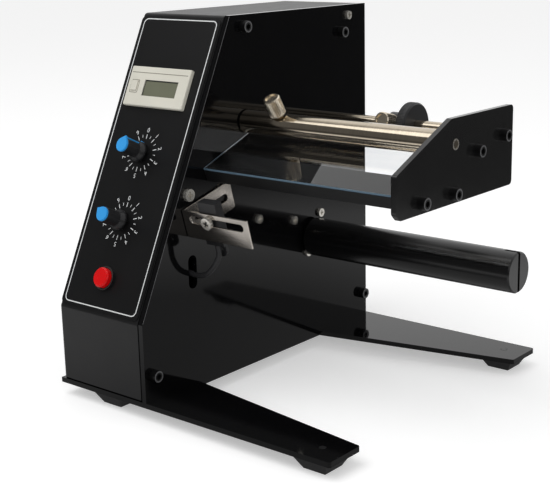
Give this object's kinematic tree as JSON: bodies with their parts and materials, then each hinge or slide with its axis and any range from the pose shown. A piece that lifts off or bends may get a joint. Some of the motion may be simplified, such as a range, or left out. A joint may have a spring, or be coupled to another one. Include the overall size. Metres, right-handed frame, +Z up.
{
  "type": "label dispenser",
  "caption": "Desk-top label dispenser: sloped panel with counter, dials and power button, peel plate with press tube, guide disc and sensor, and a motor-driven liner spindle.",
  "frame": {"origin": "middle of the footprint, at the level of the feet's undersides", "axes": "+Z up, +X from the housing towards the free ends of the rollers, -Y towards the operator and the control panel"},
  "size_m": [0.2206, 0.212, 0.2193],
  "materials": {
    "gloss_black": "gloss black paint",
    "satin_black": "satin black paint",
    "rubber": "matt",
    "black_screw": "black oxide",
    "zinc": "bright zinc",
    "chrome": "polished nickel",
    "stainless": "fine brushed",
    "clear_sheet": "clear acrylic sheet",
    "panel_film": "satin printed film",
    "beige_plastic": "fine matt",
    "black_plastic": "fine matt",
    "display_grey": "clear over grey-green",
    "blue_plastic": "satin",
    "red_plastic": "gloss",
    "board_green": "solder mask",
    "brass": "turned",
    "grey_metal": "plain"
  },
  "bodies": {
    "machine": {"base_plate": "gloss_black", "rubber_feet": "rubber", "foot_screws": "black_screw", "countersunk_screws": "black_screw", "main_side_plate": "gloss_black", "housing_shell": "satin_black", "housing_posts": "zinc", "angle_brackets": "satin_black", "frame_screws": "black_screw", "left_side_screws": "black_screw", "rear_cover": "satin_black", "cover_angle": "satin_black", "rear_cover_screws": "black_screw", "side_small_screws": "zinc", "control_overlay": "panel_film", "counter_front": "beige_plastic", "counter_case": "black_plastic", "counter_clamp": "black_plastic", "counter_display": "display_grey", "potentiometers": "grey_metal", "power_switch": "black_plastic", "panel_nuts": "zinc", "peel_plate": "clear_sheet", "front_bar": "satin_black", "rear_rod": "chrome", "guide_rod": "chrome", "liner_rod": "chrome", "end_plate": "gloss_black", "rod_screws": "black_screw", "press_shaft": "chrome", "gearbox": "grey_metal", "motor": "grey_metal", "motor_screws": "zinc", "holder_screw": "zinc", "sensor_lead": "black_plastic", "board_standoffs": "zinc", "control_board": "board_green", "power_supply": "grey_metal", "power_inlet": "black_plastic", "inlet_pins": "zinc"},
    "rewind": {"liner_spindle": "satin_black", "output_shaft": "zinc", "spindle_set_screw": "black_screw"},
    "press": {"press_tube": "chrome", "press_bushes": "brass"},
    "press_screw": {"press_thumbscrew": "chrome"},
    "guide": {"guide_disc": "black_plastic"},
    "guide_screw": {"guide_thumbscrew": "chrome"},
    "length_dial": {"length_knob": "black_plastic", "length_knob_cap": "blue_plastic", "length_pot_shaft": "brass"},
    "speed_dial": {"speed_knob": "black_plastic", "speed_knob_cap": "blue_plastic", "speed_pot_shaft": "brass"},
    "power_push": {"power_button": "red_plastic"},
    "reset_push": {"counter_reset_key": "beige_plastic"},
    "holder": {"sensor_holder": "stainless"},
    "sensor": {"label_sensor": "black_plastic", "sensor_screw": "zinc"}
  },
  "joints": [
    {"name": "spindle_turn", "type": "hinge", "parent": "machine", "child": "rewind", "pos_m": [-0.0385, 0.0449, 0.0762], "axis": [1, 0, 0], "continuous": true},
    {"name": "press_tube_turn", "type": "hinge", "parent": "machine", "child": "press", "pos_m": [-0.0385, -0.0156, 0.15782], "axis": [1, 0, 0], "range_deg": [-90, 75]},
    {"name": "press_screw_turn", "type": "hinge", "parent": "press", "child": "press_screw", "pos_m": [-0.0105, -0.0156, 0.15782], "axis": [0, -0.5, 0.866], "range_deg": [0, 360]},
    {"name": "guide_slide", "type": "slide", "parent": "machine", "child": "guide", "axis": [1, 0, 0], "range_m": [-0.0685, 0.051]},
    {"name": "guide_screw_turn", "type": "hinge", "parent": "guide", "child": "guide_screw", "pos_m": [0.0375, 0.0324, 0.156], "axis": [0, -0.9659, 0.2588], "range_deg": [0, 360]},
    {"name": "length_knob_turn", "type": "hinge", "parent": "machine", "child": "length_dial", "pos_m": [-0.0759, -0.064, 0.14247], "axis": [0, -0.9001, 0.4357], "range_deg": [-290, 10]},
    {"name": "speed_knob_turn", "type": "hinge", "parent": "machine", "child": "speed_dial", "pos_m": [-0.0759, -0.08186, 0.10557], "axis": [0, -0.9001, 0.4357], "range_deg": [-3, 297]},
    {"name": "power_button_push", "type": "slide", "parent": "machine", "child": "power_push", "axis": [0, 0.9001, -0.4357], "range_m": [0, 0.0025], "stiffness_N_per_m": 800},
    {"name": "reset_key_push", "type": "slide", "parent": "machine", "child": "reset_push", "axis": [0, 0.9001, -0.4357], "range_m": [0, 0.0006], "stiffness_N_per_m": 1500},
    {"name": "holder_slide", "type": "slide", "parent": "machine", "child": "holder", "axis": [0, 0.9659, 0.2588], "range_m": [-0.012, 0.005], "deforming": ["sensor_lead"]},
    {"name": "sensor_slide", "type": "slide", "parent": "holder", "child": "sensor", "axis": [1, 0, 0], "range_m": [-0.009, 0.022], "deforming": ["sensor_lead"]}
  ]
}
